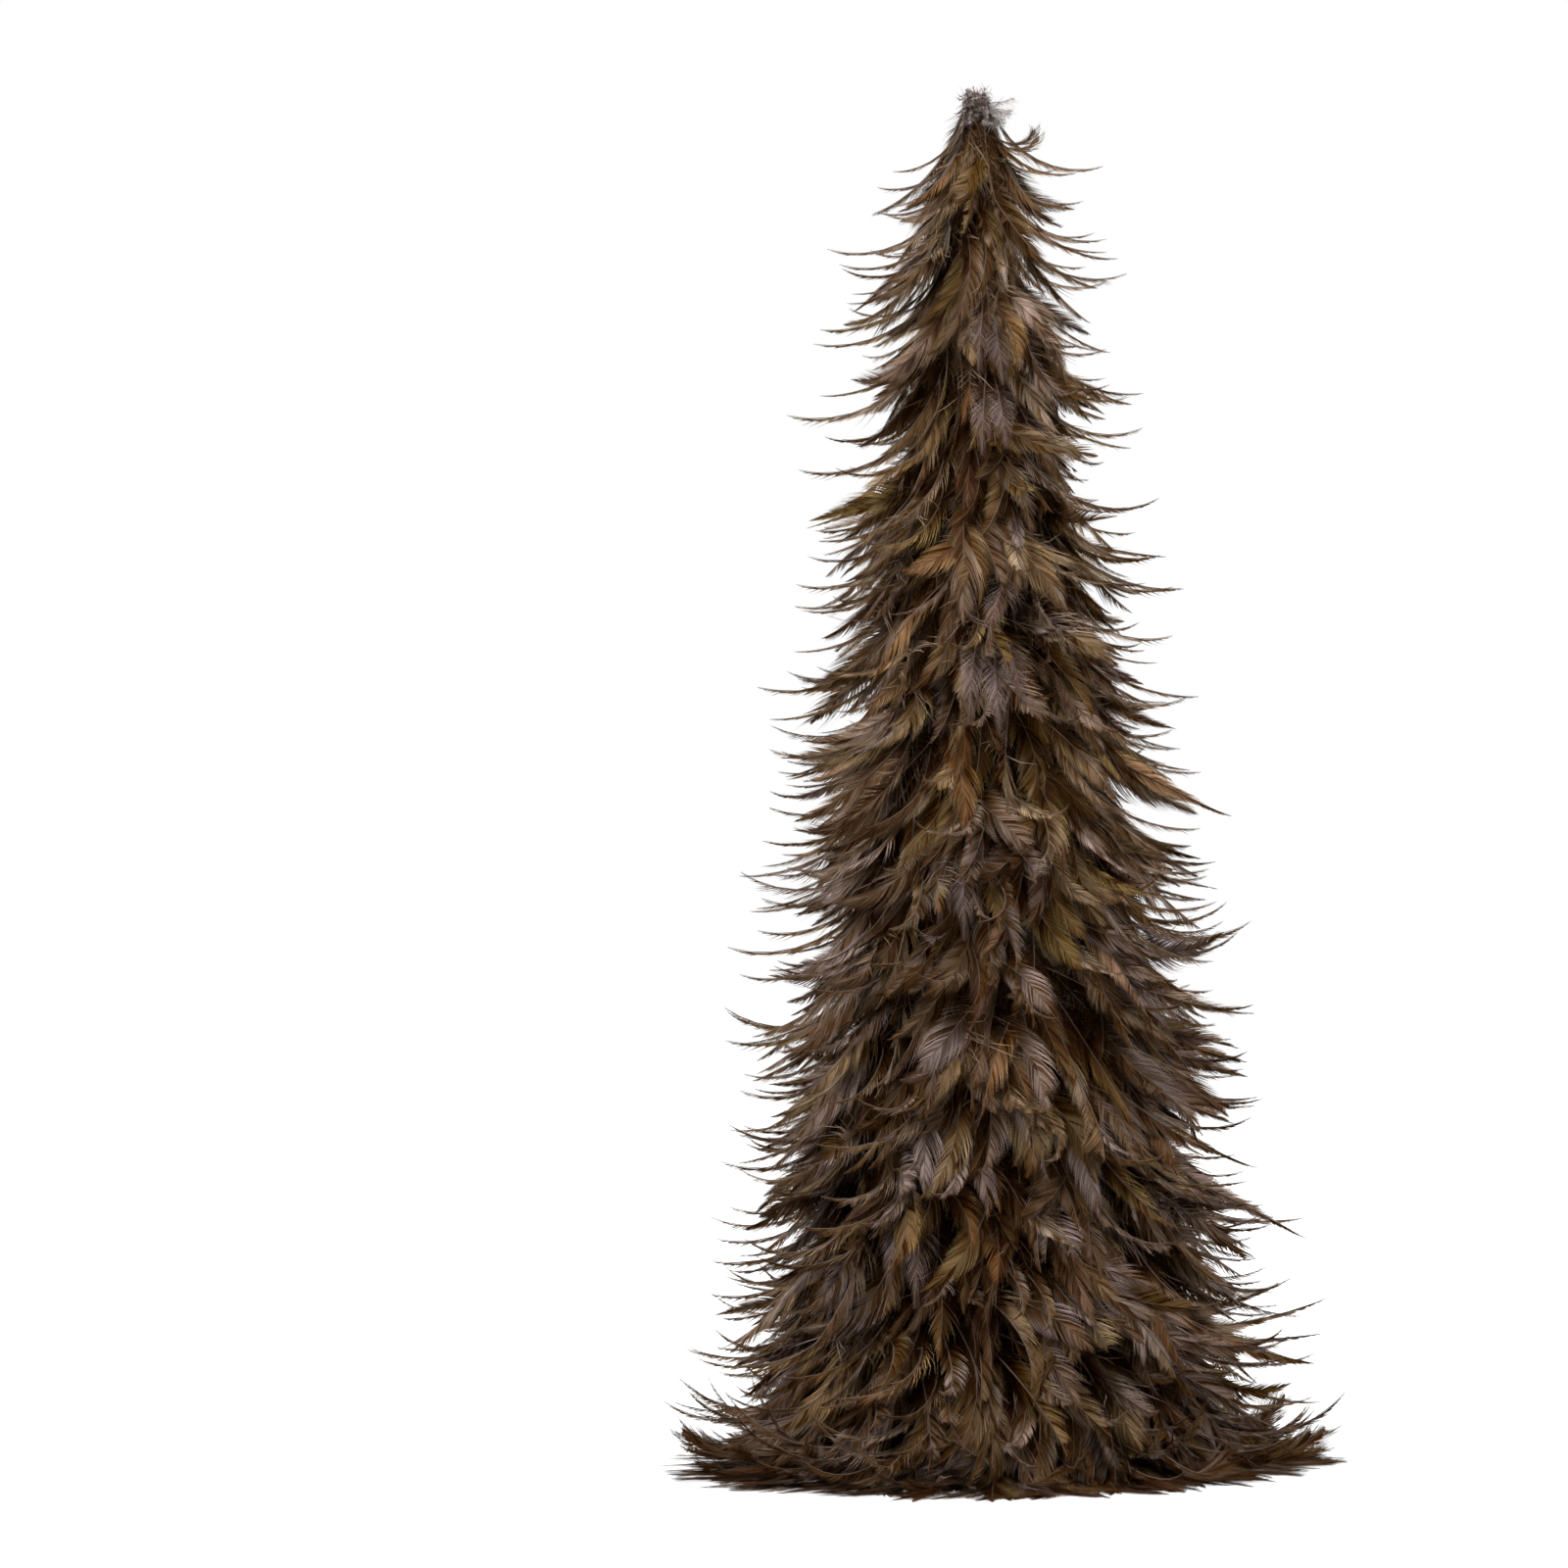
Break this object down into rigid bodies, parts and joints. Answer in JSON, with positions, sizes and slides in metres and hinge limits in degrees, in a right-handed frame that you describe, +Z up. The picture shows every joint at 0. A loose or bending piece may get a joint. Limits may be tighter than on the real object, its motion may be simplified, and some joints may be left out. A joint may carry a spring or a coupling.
{
  "type": "feather christmas tree",
  "caption": "Free-standing cone tree: paper cone on a felt-padded board, dressed from foot to tip in rows of curled brown hackle feathers over a wide floor skirt.",
  "frame": {"origin": "middle of the felt pad, on the surface that the tree stands on", "axes": "+Z up the tree's axis, -Y towards the viewer"},
  "size_m": [0.2996, 0.3003, 0.61],
  "materials": {
    "cardboard": "matt grey-brown cardboard",
    "fibreboard": "raw fibreboard",
    "felt": "dark brown wool felt",
    "plug_wood": "turned, unfinished",
    "thread": "brown cotton thread",
    "tape": "brown cotton tape",
    "feathers": "natural cock hackle feathers, dark brown with olive, rust and mauve-grey, faint sheen"
  },
  "bodies": {
    "root": {"paper_cone": "cardboard", "base_board": "fibreboard", "base_felt": "felt", "apex_plug": "plug_wood", "apex_binding": "thread", "apex_feathers": "feathers", "row_tape_01": "tape", "row_tape_02": "tape", "row_tape_03": "tape", "row_tape_04": "tape", "row_tape_05": "tape", "row_tape_06": "tape", "row_tape_07": "tape", "row_tape_08": "tape", "row_tape_09": "tape", "row_tape_10": "tape", "row_tape_11": "tape", "row_tape_12": "tape", "row_tape_13": "tape", "row_tape_14": "tape", "row_tape_15": "tape", "row_tape_16": "tape", "row_tape_17": "tape", "row_tape_18": "tape", "row_tape_19": "tape", "row_tape_20": "tape", "row_tape_21": "tape", "row_tape_22": "tape", "row_tape_23": "tape", "row_tape_24": "tape", "row_tape_25": "tape", "row_tape_26": "tape", "row_feathers_01": "feathers", "row_feathers_02": "feathers", "row_feathers_03": "feathers", "row_feathers_04": "feathers", "row_feathers_05": "feathers", "row_feathers_06": "feathers", "row_feathers_07": "feathers", "row_feathers_08": "feathers", "row_feathers_09": "feathers", "row_feathers_10": "feathers", "row_feathers_11": "feathers", "row_feathers_12": "feathers", "row_feathers_13": "feathers", "row_feathers_14": "feathers", "row_feathers_15": "feathers", "row_feathers_16": "feathers", "row_feathers_17": "feathers", "row_feathers_18": "feathers", "row_feathers_19": "feathers", "row_feathers_20": "feathers", "row_feathers_21": "feathers", "row_feathers_22": "feathers", "row_feathers_23": "feathers", "row_feathers_24": "feathers", "row_feathers_25": "feathers", "row_feathers_26": "feathers"}
  },
  "joints": []
}
